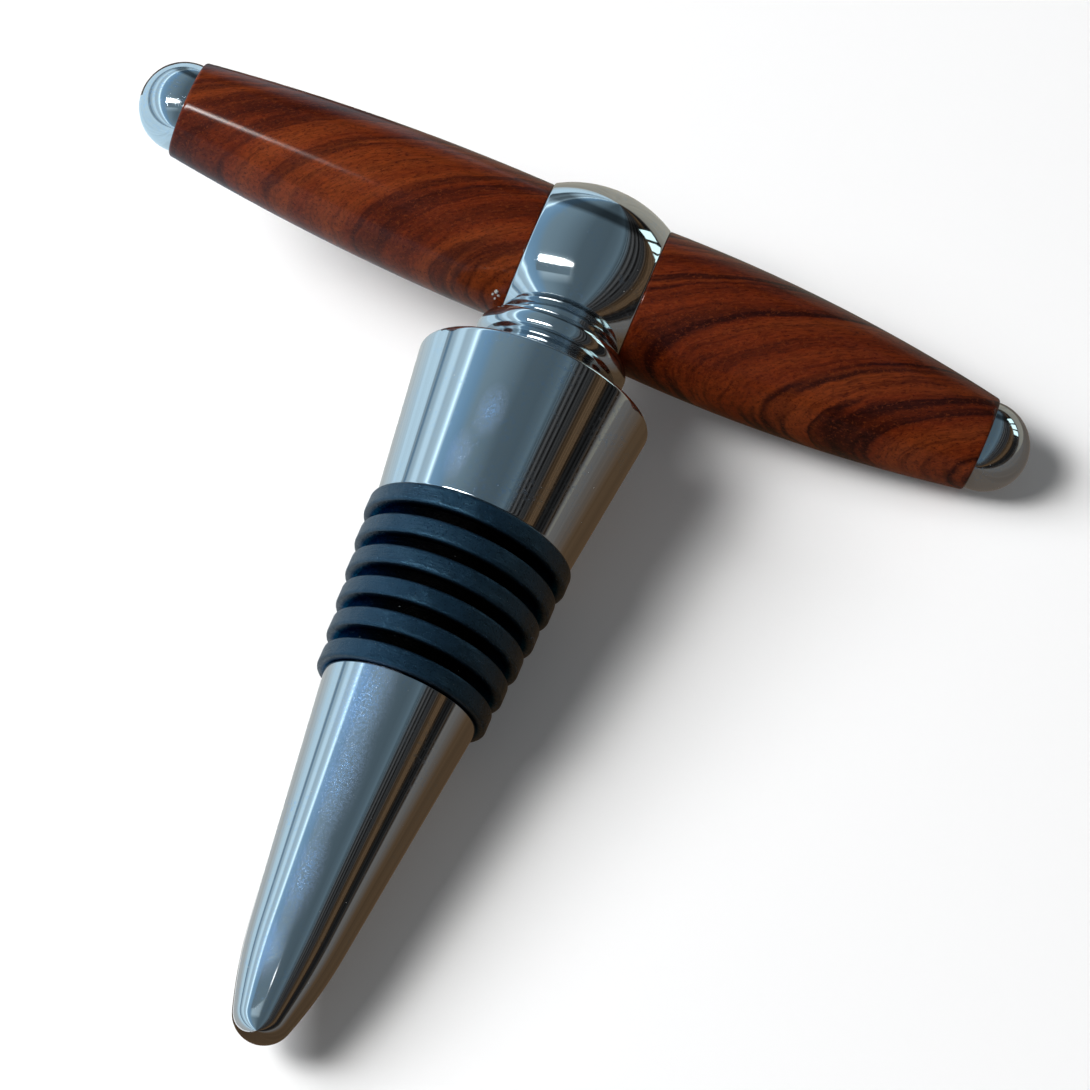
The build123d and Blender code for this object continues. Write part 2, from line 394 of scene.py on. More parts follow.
class Nodes:
    """Short ways to add and join the nodes of one tree."""

    def __init__(self, tree):
        self.tree = tree

    def join(self, node, inputs):
        """Set a node's inputs to values, or join them to other nodes."""
        for key, value in inputs.items():
            if isinstance(value, bpy.types.NodeSocket):
                self.tree.links.new(value, node.inputs[key])
            else:
                node.inputs[key].default_value = value

    def add(self, kind, inputs=None, **settings):
        """Add a node, set its properties, and set or join its inputs."""
        node = self.tree.nodes.new(kind)
        for key, value in settings.items():
            setattr(node, key, value)
        self.join(node, inputs or {})
        return node

    def math(self, operation, first, second=0.0, clamp=False):
        """Result of one Math node."""
        node = self.add("ShaderNodeMath", {0: first, 1: second}, operation=operation)
        node.use_clamp = clamp
        return node.outputs[0]

    def vector(self, operation, first, second):
        """Result of one Vector Math node."""
        inputs = {0: first, 1: second}
        return self.add("ShaderNodeVectorMath", inputs, operation=operation).outputs[0]

    def length(self, vector):
        """Length of a vector."""
        return self.add("ShaderNodeVectorMath", {0: vector}, operation="LENGTH").outputs["Value"]

    def stretched(self, vector, scale):
        """A vector scaled along each axis."""
        return self.vector("MULTIPLY", vector, scale)

    def axes(self, vector):
        """The X, Y and Z of a vector."""
        return self.add("ShaderNodeSeparateXYZ", {0: vector}).outputs

    def ramp(self, factor, stops):
        """Result of a Color Ramp with the given (place, level or colour) stops."""
        node = self.add("ShaderNodeValToRGB", {0: factor})
        ramp = node.color_ramp
        ramp.elements[0].position = stops[0][0]
        ramp.elements[1].position = stops[-1][0]
        for place, _ in stops[1:-1]:
            ramp.elements.new(place)
        for element, (_, value) in zip(ramp.elements, stops):
            if isinstance(value, (int, float)):
                value = (value, value, value)
            element.color = (*value[:3], 1.0)
        return node.outputs[0]

    def noise(self, vector, scale, detail=3.0, roughness=0.55, distortion=0.0):
        """Value of a noise texture."""
        return self.add(
            "ShaderNodeTexNoise",
            {"Vector": vector, "Scale": scale, "Detail": detail,
             "Roughness": roughness, "Distortion": distortion},
        ).outputs[0]

    def mix(self, factor, first, second, blend="MIX"):
        """Colour between two colours."""
        return self.add(
            "ShaderNodeMix", {0: factor, 6: first, 7: second},
            data_type="RGBA", blend_type=blend,
        ).outputs[2]

    def object_place(self):
        """Object coordinates, in metres."""
        return self.add("ShaderNodeTexCoord").outputs["Object"]

    def bump(self, shader, strength, depth, height):
        """Bump a shader's surface by a height, its depth in millimetres."""
        node = self.add(
            "ShaderNodeBump", {"Strength": strength, "Distance": depth * MM, "Height": height}
        )
        self.join(shader, {"Normal": node.outputs[0]})

    def light(self, tint, strength=1.0):
        """Plain light of a colour."""
        return self.add("ShaderNodeEmission", {0: tint, 1: strength}).outputs[0]

    def both(self, first, second):
        """Two surfaces added up."""
        return self.add("ShaderNodeAddShader", {0: first, 1: second}).outputs[0]

    def seen(self):
        """1 where the camera, metal or glass sees a surface, and 0 elsewhere."""
        path = self.add("ShaderNodeLightPath").outputs
        seen = self.math("MAXIMUM", path["Is Camera Ray"], path["Is Glossy Ray"])
        return self.math("MAXIMUM", seen, path["Is Transmission Ray"])

    def show(self, surface, output="ShaderNodeOutputMaterial"):
        """Give the tree its output, which shows this surface."""
        self.add(output, {0: surface})


def new_group(name, inputs, outputs):
    """An empty node group with named sockets."""
    tree = bpy.data.node_groups.new(name, "ShaderNodeTree")
    for label, kind, value in inputs:
        socket = tree.interface.new_socket(label, in_out="INPUT", socket_type=kind)
        if value is not None:
            socket.default_value = value
    for label, kind in outputs:
        tree.interface.new_socket(label, in_out="OUTPUT", socket_type=kind)
    nodes = Nodes(tree)
    start = nodes.add("NodeGroupInput")
    end = nodes.add("NodeGroupOutput")
    return nodes, start, end


def dust_group():
    """Dust specks and short lint, as a mask."""
    if "dust_specks" in bpy.data.node_groups:
        return bpy.data.node_groups["dust_specks"]
    nodes, start, end = new_group(
        "dust_specks",
        [("Vector", "NodeSocketVector", None),
         ("Amount", "NodeSocketFloat", 0.5),
         ("Size", "NodeSocketFloat", 1.0)],
        [("Mask", "NodeSocketFloat")],
    )
    place = start.outputs["Vector"]
    cells = nodes.add(
        "ShaderNodeTexVoronoi", {"Vector": place, "Scale": 1.6, "Randomness": 1.0},
        feature="F1",
    )
    chance = nodes.add("ShaderNodeSeparateColor", {0: cells.outputs["Color"]})
    kept = nodes.math("LESS_THAN", chance.outputs[0], start.outputs["Amount"])
    radius = nodes.math("MULTIPLY", chance.outputs[1], 0.06)
    radius = nodes.math("MULTIPLY", nodes.math("ADD", radius, 0.03), start.outputs["Size"])
    near = nodes.math("SUBTRACT", radius, cells.outputs["Distance"])
    speck = nodes.math("MULTIPLY", near, 30.0, clamp=True)
    ragged = nodes.noise(place, 9.0, 2.0)
    speck = nodes.math("MULTIPLY", speck, nodes.math("MULTIPLY", ragged, 1.6), clamp=True)
    nodes.join(end, {"Mask": nodes.math("MULTIPLY", speck, kept)})
    return nodes.tree


def marks_group():
    """Handling marks: patchy haze and fine scuffs, as two masks."""
    if "handling_marks" in bpy.data.node_groups:
        return bpy.data.node_groups["handling_marks"]
    nodes, start, end = new_group(
        "handling_marks",
        [("Vector", "NodeSocketVector", None)],
        [("Haze", "NodeSocketFloat"), ("Scuffs", "NodeSocketFloat")],
    )
    place = start.outputs["Vector"]
    patches = nodes.noise(place, 0.13, 3.0, 0.6, 0.8)
    patches = nodes.ramp(patches, [(0.46, 0.0), (0.72, 1.0)])
    grains = nodes.noise(place, 2.6, 5.0, 0.72)
    grains = nodes.ramp(grains, [(0.50, 0.0), (0.64, 1.0)])
    haze = nodes.math("MULTIPLY", patches, grains)
    lines = nodes.noise(nodes.stretched(place, (0.25, 2.5, 2.5)), 2.2, 2.0, 0.5, 0.5)
    lines = nodes.ramp(lines, [(0.60, 0.0), (0.64, 1.0), (0.68, 0.0)])
    scuffs = nodes.math("MULTIPLY", lines, patches)
    nodes.join(end, {"Haze": haze, "Scuffs": scuffs})
    return nodes.tree


def dust_mask(nodes, place, amount, size):
    """Dust specks on a surface: the share of places that have one, and its size."""
    inputs = {"Vector": place, "Amount": amount, "Size": size}
    return nodes.add("ShaderNodeGroup", inputs, node_tree=dust_group()).outputs["Mask"]


def place_vector(nodes, rotation=(0.0, 0.0, 0.0)):
    """Object coordinates in millimetres from the crossing, turned if asked."""
    inputs = {
        "Vector": nodes.object_place(), "Location": CROSSING,
        "Rotation": rotation, "Scale": (MM, MM, MM),
    }
    return nodes.add("ShaderNodeMapping", inputs, vector_type="TEXTURE").outputs[0]


def place_on_stem(nodes):
    """Object coordinates in millimetres: X across the stem, Y up and Z along it."""
    return place_vector(nodes, on_stem().to_3x3().to_euler())


def new_material(name):
    """A material with its Principled shader and its tree."""
    material = bpy.data.materials.new(name)
    material.use_nodes = True
    nodes = Nodes(material.node_tree)
    shader = material.node_tree.nodes["Principled BSDF"]
    return material, nodes, shader


def smudge_mask(nodes):
    """Greasy finger marks on the collar and the nose, as a grainy mask."""
    place = place_on_stem(nodes)
    grains = nodes.noise(place, 5.5, 5.0, 0.75)
    grains = nodes.ramp(grains, [(0.44, 0.10), (0.58, 1.0)])
    mask = 0.0
    for across, up, along, width, run in SMUDGES:
        away = nodes.vector("SUBTRACT", place, (across, up, along))
        far = nodes.length(nodes.stretched(away, (1 / width, 1 / width, 1 / run)))
        mask = nodes.math("MAXIMUM", nodes.ramp(far, [(0.2, 1.0), (1.0, 0.0)]), mask)
    return nodes.math("MULTIPLY", mask, grains)


def chrome_material(finish):
    """Mirror plating with faint haze, greasy marks, scuffs and a little dust."""
    material, nodes, shader = new_material("polished_plating")
    place = place_vector(nodes)
    marks = nodes.add("ShaderNodeGroup", {"Vector": place}, node_tree=marks_group()).outputs
    greasy = smudge_mask(nodes)
    fine_dust = dust_mask(nodes, nodes.stretched(place, (2.6, 2.6, 2.6)), 0.75, 1.6)
    specks = nodes.math("MULTIPLY", fine_dust, greasy)
    specks = nodes.math("MAXIMUM", specks, dust_mask(nodes, place, 0.22, 1.0))
    haze = nodes.math("MAXIMUM", nodes.math("MULTIPLY", marks["Haze"], 0.45), greasy)
    base = nodes.mix(haze, (*finish.chrome, 1.0), (*finish.haze, 1.0))
    base = nodes.mix(specks, base, (*finish.dust, 1.0))
    dusted = nodes.math("MULTIPLY", specks, 0.85)
    covered = nodes.math("ADD", dusted, nodes.math("MULTIPLY", greasy, 0.28))
    dull = nodes.math("MULTIPLY", marks["Haze"], 0.22)
    dull = nodes.math("ADD", dull, nodes.math("MULTIPLY", greasy, 0.08))
    scuffed = nodes.math("MULTIPLY", marks["Scuffs"], 0.10)
    rough = nodes.math("ADD", nodes.math("MULTIPLY", specks, 0.4), PLATING_ROUGHNESS)
    rough = nodes.math("ADD", nodes.math("ADD", dull, scuffed), rough)
    nodes.join(shader, {
        "Base Color": base,
        "Metallic": nodes.math("SUBTRACT", 1.0, covered, clamp=True),
        "Roughness": rough,
    })
    nodes.bump(shader, 0.06, 0.02, nodes.noise(place, 0.35, 2.0, 0.5))
    return material


def grain_rotation():
    """Turn of the wood's layers: X across them, Y along the fibres."""
    handle = handle_way()
    stem = stem_way()
    # The layers lean over the handle, so that the streaks cross it aslant
    across = (handle + 1.6 * stem + 0.7 * up_way()).normalized()
    fibres = (handle - handle.dot(across) * across).normalized()
    third = across.cross(fibres)
    return Matrix((across, fibres, third)).transposed().to_euler()


def drawn_out(nodes, place, scale, stops, detail=2.0, roughness=0.5, distortion=0.0):
    """A noise that is drawn out along the fibres, with its levels or colours as stops."""
    pattern = nodes.noise(nodes.stretched(place, scale), 1.0, detail, roughness, distortion)
    return nodes.ramp(pattern, stops)


def wood_material(finish, name, shift, depth):
    """Lacquered red-brown wood with dark curving streaks, pores and fine fibres.
    The shift moves the pattern, and the depth says how dark the streaks are."""
    material, nodes, shader = new_material(name)
    mid, light = Vector(finish.wood_mid), Vector(finish.wood_light)
    dark = (*finish.wood_dark, 1.0)
    place = nodes.vector("ADD", place_vector(nodes, grain_rotation()), shift)
    bend = nodes.noise(place, 0.05, 0.0, 0.4)
    bend = nodes.math("MULTIPLY", nodes.math("SUBTRACT", bend, 0.5), 3.2)
    wobble = nodes.noise(place, 0.40, 1.0, 0.5)
    wobble = nodes.math("MULTIPLY", nodes.math("SUBTRACT", wobble, 0.5), 0.45)
    aside = nodes.add("ShaderNodeCombineXYZ", {0: nodes.math("ADD", bend, wobble)})
    bent = nodes.vector("ADD", place, aside.outputs[0])
    base = drawn_out(nodes, bent, (0.34, 0.012, 0.025), [
        (0.30, mid * 0.45), (0.44, mid), (0.56, mid.lerp(light, 0.6)), (0.66, mid), (0.76, mid * 0.6),
    ], detail=1.0)
    streaks = drawn_out(nodes, bent, (0.62, 0.016, 0.04), [
        (0.52, 0.0), (0.58, 1.0), (0.62, 0.75), (0.70, 0.0),
    ])
    base = nodes.mix(nodes.math("MULTIPLY", streaks, depth), base, dark)
    lines = drawn_out(nodes, bent, (2.1, 0.035, 0.10), [(0.56, 0.0), (0.64, 1.0), (0.70, 0.2)])
    base = nodes.mix(nodes.math("MULTIPLY", lines, 0.50 * depth), base, dark)
    fibres = drawn_out(nodes, bent, (5.5, 0.7, 1.6), [(0.30, 0.62), (0.70, 1.38)], 3.0, 0.65)
    base = nodes.mix(1.0, base, fibres, "MULTIPLY")
    # Pale flecks across the fibres: the wood's own flecks, with their sheen painted in as a paler
    # colour
    flecks_and_sheen = drawn_out(nodes, place, (4.2, 2.2, 4.2), [(0.54, 0.0), (0.66, 1.0)], 3.0, 0.75, 0.6)
    base = nodes.mix(nodes.math("MULTIPLY", flecks_and_sheen, 0.42), base, (*light, 1.0))
    pores = drawn_out(nodes, place, (7.0, 1.6, 5.5), [(0.57, 0.0), (0.66, 1.0)], 2.0, 0.6, 0.4)
    base = nodes.mix(nodes.math("MULTIPLY", pores, 0.60), base, dark)
    nodes.join(shader, {
        "Base Color": base, "Roughness": 0.5, "Specular IOR Level": 0.04,
        "Coat Weight": 0.40, "Coat Roughness": 0.13, "Coat IOR": 1.42,
    })
    nodes.bump(shader, 0.2, 0.02, pores)
    return material


def left_wood(finish):
    """The left grip's wood: warm, with soft streaks."""
    return wood_material(finish, "left_wood", (0.0, 0.0, 0.0), 0.62)


def right_wood(finish):
    """The right grip's wood: darker, with strong curved streaks."""
    return wood_material(finish, "right_wood", (7.3, 31.0, 11.0), 0.92)


def groove_shade_share(nodes):
    """How deep a point of the sleeve lies under the line of the ribs' tops, 0 to 1, as the share of
    painted shade that blackens the grooves.
    """
    scene = bpy.context.scene
    hub, body, sleeve = scene.stopper_hub, scene.stopper_body, scene.stopper_sleeve
    top = foot_end(hub) + body.collar_length
    fall = (sleeve.first_rib - sleeve.last_rib) / 2 / (sleeve.length - sleeve.rib_width)
    place = place_on_stem(nodes)
    out = nodes.length(nodes.stretched(place, (1.0, 1.0, 0.0)))
    down = nodes.math("SUBTRACT", nodes.axes(place)[2], top / MM)
    line = nodes.math("SUBTRACT", sleeve.first_rib / 2 / MM, nodes.math("MULTIPLY", down, fall))
    depth = nodes.math("SUBTRACT", nodes.math("SUBTRACT", line, out), SHADE_START)
    return nodes.math("DIVIDE", depth, sleeve.groove / MM * SHADE_SHARE, clamp=True)


def rubber_material(finish):
    """Black rubber with a slate sheen, wrinkles round the ribs, painted black shade in the grooves,
    and dust.
    """
    material, nodes, shader = new_material("ribbed_rubber")
    place = place_vector(nodes)
    # depth is the share of painted shade in the grooves
    depth = groove_shade_share(nodes)
    dust = dust_mask(nodes, nodes.stretched(place, (2.0, 2.0, 2.0)), 0.30, 1.1)
    clean = nodes.math("SUBTRACT", 1.0, dust)
    mottle = nodes.ramp(nodes.noise(place, 0.9, 4.0, 0.65), [(0.3, 0.6), (0.7, 1.5)])
    base = nodes.mix(1.0, (*finish.rubber, 1.0), mottle, "MULTIPLY")
    # Painted shade: the base turns black with the grooves' depth
    base = nodes.mix(depth, base, (0.001, 0.001, 0.001, 1.0))
    grain = nodes.noise(place, 5.0, 4.0, 0.7)
    rings = nodes.noise(nodes.stretched(place_on_stem(nodes), (0.35, 0.35, 6.0)), 1.0, 3.0, 0.6)
    worn = nodes.ramp(nodes.noise(place, 0.35, 2.0, 0.5), [(0.42, 0.0), (0.62, 1.0)])
    rings = nodes.math("MULTIPLY", nodes.math("MULTIPLY", rings, worn), 2.2)
    nodes.join(shader, {
        "Base Color": nodes.mix(dust, base, (*finish.dust, 1.0)),
        # Painted shade: the grooves turn black metal, so that they show no sheen
        "Metallic": nodes.math("MULTIPLY", depth, clean),
        "Roughness": nodes.ramp(grain, [(0.3, 0.24), (0.7, 0.38)]),
        "IOR": 1.6, "Specular IOR Level": 0.8, "Specular Tint": (0.27, 0.63, 1.0, 1.0),
    })
    nodes.bump(shader, 0.6, 0.09, nodes.math("ADD", grain, rings))
    return material


def steel_material(finish):
    """Plain turned steel, for the rod and the stud."""
    material, nodes, shader = new_material("turned_steel")
    rings = nodes.noise(place_vector(nodes), 4.0, 2.0)
    nodes.join(shader, {
        "Base Color": (*finish.steel, 1.0), "Metallic": 1.0,
        "Roughness": nodes.ramp(rings, [(0.3, 0.28), (0.7, 0.42)]),
    })
    return material


def glue_material(finish):
    """Pale crumbs of dried glue."""
    material, nodes, shader = new_material("dried_glue")
    patches = nodes.noise(place_vector(nodes), 6.0, 3.0)
    pale = Vector(finish.dust)
    tone = nodes.ramp(patches, [(0.35, pale * 0.4), (0.65, pale * 0.9)])
    nodes.join(shader, {"Base Color": tone, "Roughness": 0.6})
    return material


def material_once(name, build):
    """The named material, built when it is first asked for."""
    found = bpy.data.materials.get(name)
    return found or build(bpy.context.scene.stopper_finish)


# Sections of the pieces

def barrel_section(hub, bore):
    """The hub's barrel as a thick ring about the handle."""
    half = hub.width / 2
    end_radius = hub.end_diameter / 2
    rise = hub.mid_diameter / 2 - end_radius
    radius = (half**2 + rise**2) / (2 * rise)
    centre = hub.mid_diameter / 2 - radius
    lean = math.asin(half / radius)
    crown = arc((0.0, centre), radius, math.pi / 2 + lean, math.pi / 2 - lean, steps=40)
    left = rounded((-half, bore), crown[0], crown[1], hub.edge_round)
    right = rounded(crown[-2], crown[-1], (half, bore), hub.edge_round)
    # The rounded edges take the place of the crown's points at both ends
    return [(-half, bore), *left, *crown[3:-3], *right, (half, bore), (-half, bore)]


def foot_section(hub):
    """Neck, bead and foot about the stem, from inside the barrel down."""
    neck = hub.neck_diameter / 2
    root = hub.bead_root / 2
    bead_start = hub.bead_centre - hub.bead_round
    bead_end = hub.bead_centre + hub.bead_round
    foot = root + hub.cove
    end = foot_end(hub)
    top = neck * NECK_INSIDE
    support = bead_start - 0.1 * MM
    bead = arc((hub.bead_centre, root), hub.bead_round, math.pi, 0.0, steps=20)
    cove = arc((bead_end, foot), hub.cove, -math.pi / 2, 0.0, steps=16)
    return [
        (top, 0.0), (top, neck), (support, neck), (bead_start, neck),
        *bead, *cove[1:], (end, foot), (end, 0.0),
    ]


def grip_section(hub, grip, word):
    """The right or left grip about the handle, as a long bored spindle."""
    start = hub.width / 2
    end = start + grip.length
    crown_from_hub = getattr(grip, f"{word}_crown_place")
    crown_place = start + crown_from_hub
    crown = getattr(grip, f"{word}_crown") / 2
    outer = getattr(grip, f"{word}_outer") / 2
    bore = grip.bore / 2
    run = end - crown_place
    drop = crown - outer
    radius = (run**2 + drop**2) / (2 * drop)
    centre = (crown_place, crown - radius)
    first = math.pi / 2 + math.asin(crown_from_hub / radius)
    last = math.pi / 2 - math.asin(run / radius)
    side = arc(centre, radius, first, last, steps=56)
    left = rounded((start, bore), side[0], side[1], grip.inner_round)
    right = rounded(side[-2], side[-1], (end, bore), grip.outer_round)
    # The rounded edges take the place of the side's points at both ends
    return [(start, bore), *left, *side[1:-2], *right, (end, bore), (start, bore)]


def cap_section(hub, grip, cap):
    """An end cap about the handle: short skirt, dome and blind hole."""
    start = hub.width / 2 + grip.length
    radius = cap.diameter / 2
    hole = cap.hole_diameter / 2
    centre = (start + cap.skirt, 0.0)
    dome = arc(centre, radius, math.pi / 2, 0.0, steps=36)
    return [
        (start + cap.hole_depth, 0.0), (start + cap.hole_depth, hole),
        (start, hole), (start, radius), *dome[:-1], (centre[0] + radius, 0.0),
    ]


def closing_arc(body, cone_end, nose_end):
    """Points of the nose's closing: an arc tangent to its cone, then the tip."""
    cone_radius = body.cone_end / 2
    slope = math.atan2(body.nose_top / 2 - cone_radius, body.cone_length)
    tip_centre = nose_end - body.tip_round
    along = tip_centre - cone_end
    reach = along * math.sin(slope) - cone_radius * math.cos(slope)
    radius = (along**2 + cone_radius**2 - body.tip_round**2) / (-2 * (reach + body.tip_round))
    centre = (cone_end - radius * math.sin(slope), cone_radius - radius * math.cos(slope))
    turn = math.atan2(-centre[1], tip_centre - centre[0])
    closing = arc(centre, radius, math.pi / 2 - slope, turn, steps=28)
    tip = arc((tip_centre, 0.0), body.tip_round, turn, 0.0, steps=18)
    return [*closing, *tip[1:-1], (nose_end, 0.0)]


def body_section(hub, body, sleeve):
    """Collar, spigot and nose about the stem, with the stud's blind hole."""
    top = foot_end(hub)
    bottom = top + body.collar_length
    nose = bottom + sleeve.length
    nose_end = nose + body.nose_length
    cone_end = nose + body.cone_length
    hole = body.hole_diameter / 2
    spigot = sleeve.bore / 2
    rim_corner = (top, body.collar_top / 2)
    bottom_corner = (bottom, body.collar_bottom / 2)
    nose_corner = (nose, body.nose_top / 2)
    rim = rounded((top, hole), rim_corner, bottom_corner, body.rim_round, 7)
    lower = rounded(rim_corner, bottom_corner, (bottom, spigot), body.bottom_round)
    upper = rounded((nose, spigot), nose_corner, (cone_end, body.cone_end / 2), body.top_round)
    return [
        (top + body.hole_depth, 0.0), (top + body.hole_depth, hole), (top, hole),
        *rim, *lower, (bottom, spigot), (nose, spigot), *upper,
        *closing_arc(body, cone_end, nose_end),
    ]


def sleeve_section(hub, body, sleeve):
    """The ribbed sleeve about the stem: a tapered tube with rounded ribs."""
    top = foot_end(hub) + body.collar_length
    bottom = top + sleeve.length
    bore = sleeve.bore / 2
    spaces = sleeve.ribs - 1
    points = [(top, bore)]
    for number in range(sleeve.ribs):
        share = number / spaces
        radius = (sleeve.first_rib + (sleeve.last_rib - sleeve.first_rib) * share) / 2
        start = top + (sleeve.length - sleeve.rib_width) * share
        end = start + sleeve.rib_width
        start_root = groove_radius(sleeve, (start - top) / sleeve.length)
        end_root = groove_radius(sleeve, (end - top) / sleeve.length)
        first = rounded((start, start_root), (start, radius), (end, radius), sleeve.rib_round)
        last = rounded((start, radius), (end, radius), (end, end_root), sleeve.rib_round)
        if number:
            points.append((start, start_root))
        points += [*first[1:], *last[:-1]]
        if number < spaces:
            points.append((end, end_root))
    return [*points, (bottom, bore), (top, bore)]


def groove_radius(sleeve, share):
    """Radius at the bottom of the grooves, a share of the way down."""
    diameter = sleeve.first_rib + (sleeve.last_rib - sleeve.first_rib) * share
    return diameter / 2 - sleeve.groove


# Operators

class STOPPER_OT_hub(bpy.types.Operator):
    """Model the hub: a barrel across the stem with a beaded foot"""

    bl_idname = "stopper.hub"
    bl_label = "Hub"

    def execute(self, context):
        scene = context.scene
        hub = scene.stopper_hub
        barrel = turn_section("hub_turned", barrel_section(hub, scene.stopper_cap.hole_diameter / 2))
        lay(barrel, on_handle(1))
        foot = turn_section("foot_turned", foot_section(hub))
        lay(foot, on_stem())
        cut_with(barrel, foot, "UNION")
        chrome = material_once("polished_plating", chrome_material)
        finish_piece(barrel, chrome, "chrome", "hub")
        return {"FINISHED"}


class STOPPER_OT_grips(bpy.types.Operator):
    """Model the two wooden grips"""

    bl_idname = "stopper.grips"
    bl_label = "Grips"

    def execute(self, context):
        scene = context.scene
        for side, word, build in ((1, "right", right_wood), (-1, "left", left_wood)):
            wood = material_once(f"{word}_wood", build)
            section = grip_section(scene.stopper_hub, scene.stopper_grip, word)
            grip = turn_section(f"{word}_grip_turned", section)
            lay(grip, on_handle(side))
            finish_piece(grip, wood, "grip_wood", f"{word}_grip")
        return {"FINISHED"}


class STOPPER_OT_caps(bpy.types.Operator):
    """Model the two domed end caps"""

    bl_idname = "stopper.caps"
    bl_label = "End caps"

    def execute(self, context):
        scene = context.scene
        chrome = material_once("polished_plating", chrome_material)
        for side, word in ((1, "right"), (-1, "left")):
            section = cap_section(scene.stopper_hub, scene.stopper_grip, scene.stopper_cap)
            cap = turn_section(f"{word}_cap_turned", section)
            lay(cap, on_handle(side))
            finish_piece(cap, chrome, "chrome", f"{word}_cap")
        return {"FINISHED"}


class STOPPER_OT_body(bpy.types.Operator):
    """Model the collar, spigot and nose"""

    bl_idname = "stopper.body"
    bl_label = "Stopper body"

    def execute(self, context):
        scene = context.scene
        section = body_section(scene.stopper_hub, scene.stopper_body, scene.stopper_sleeve)
        body = turn_section("body_turned", section)
        lay(body, on_stem())
        chrome = material_once("polished_plating", chrome_material)
        finish_piece(body, chrome, "chrome", "stopper_body")
        return {"FINISHED"}


class STOPPER_OT_sleeve(bpy.types.Operator):
    """Model the ribbed rubber sleeve"""

    bl_idname = "stopper.sleeve"
    bl_label = "Rubber sleeve"

    def execute(self, context):
        scene = context.scene
        section = sleeve_section(scene.stopper_hub, scene.stopper_body, scene.stopper_sleeve)
        sleeve = turn_section("sleeve_turned", section)
        lay(sleeve, on_stem())
        rubber = material_once("ribbed_rubber", rubber_material)
        finish_piece(sleeve, rubber, "seal_rubber", "rubber_sleeve")
        return {"FINISHED"}


def on_left_grip(along, radius, turn):
    """Placement on the left grip: so far along the handle, and turned up from the stem."""
    handle = handle_way()
    out = stem_way() * math.cos(turn) + up_way() * math.sin(turn)
    centre = Vector(CROSSING) - handle * along + out * radius
    turned = Matrix((handle, out.cross(handle), out)).transposed().to_4x4()
    return Matrix.Translation(centre) @ turned


def rough_crumb(radius, seed):
    """A small ball with an uneven surface."""
    select_only()
    bpy.ops.mesh.primitive_ico_sphere_add(subdivisions=3, radius=radius, location=(0.0, 0.0, 0.0))
    crumb = bpy.context.object
    bpy.ops.object.mode_set(mode="EDIT")
    bpy.ops.mesh.select_all(action="SELECT")
    bpy.ops.transform.vertex_random(offset=radius * 0.14, uniform=0.5, normal=0.3, seed=seed)
    bpy.ops.object.mode_set(mode="OBJECT")
    return crumb


class STOPPER_OT_crumbs(bpy.types.Operator):
    """Model the crumbs of dried glue on the left grip, beside the hub"""

    bl_idname = "stopper.crumbs"
    bl_label = "Glue crumbs"

    def execute(self, context):
        scene = context.scene
        side = scene.stopper_hub.width / 2
        radius = scene.stopper_grip.left_crown / 2
        crumbs = []
        for number, (from_hub, turn, size) in enumerate(CRUMBS):
            placement = on_left_grip(side + from_hub * MM, radius, math.radians(turn))
            # Each crumb is flat, and longer than the one before
            shape = Matrix.Diagonal((1.0, 1.0 + 0.25 * number, 0.55, 1.0))
            crumbs.append(lay(rough_crumb(size * MM, number + 3), placement @ shape))
        select_only(*crumbs)
        bpy.ops.object.join()
        crumbs[0].name = "glue_crumbs"
        finish_piece(crumbs[0], material_once("dried_glue", glue_material), "grip_wood")
        return {"FINISHED"}


class STOPPER_OT_steel(bpy.types.Operator):
    """Give the hidden rod and stud their steel"""

    bl_idname = "stopper.steel"
    bl_label = "Rod and stud"

    def execute(self, context):
        steel = material_once("turned_steel", steel_material)
        for name in ("handle_rod", "joining_stud"):
            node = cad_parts[name]
            node.data.materials.clear()
            node.data.materials.append(steel)
        return {"FINISHED"}


# Stage

def only_in_reflections(obj):
    """Show a stage piece in glossy reflections and nowhere else."""
    obj.visible_camera = False
    obj.visible_diffuse = False
    obj.visible_transmission = False
    obj.visible_volume_scatter = False
    obj.visible_shadow = False


def bare_material(name):
    """A material of a stage piece, its tree still empty."""
    material = bpy.data.materials.new(name)
    material.use_nodes = True
    material.node_tree.nodes.clear()
    return material, Nodes(material.node_tree)


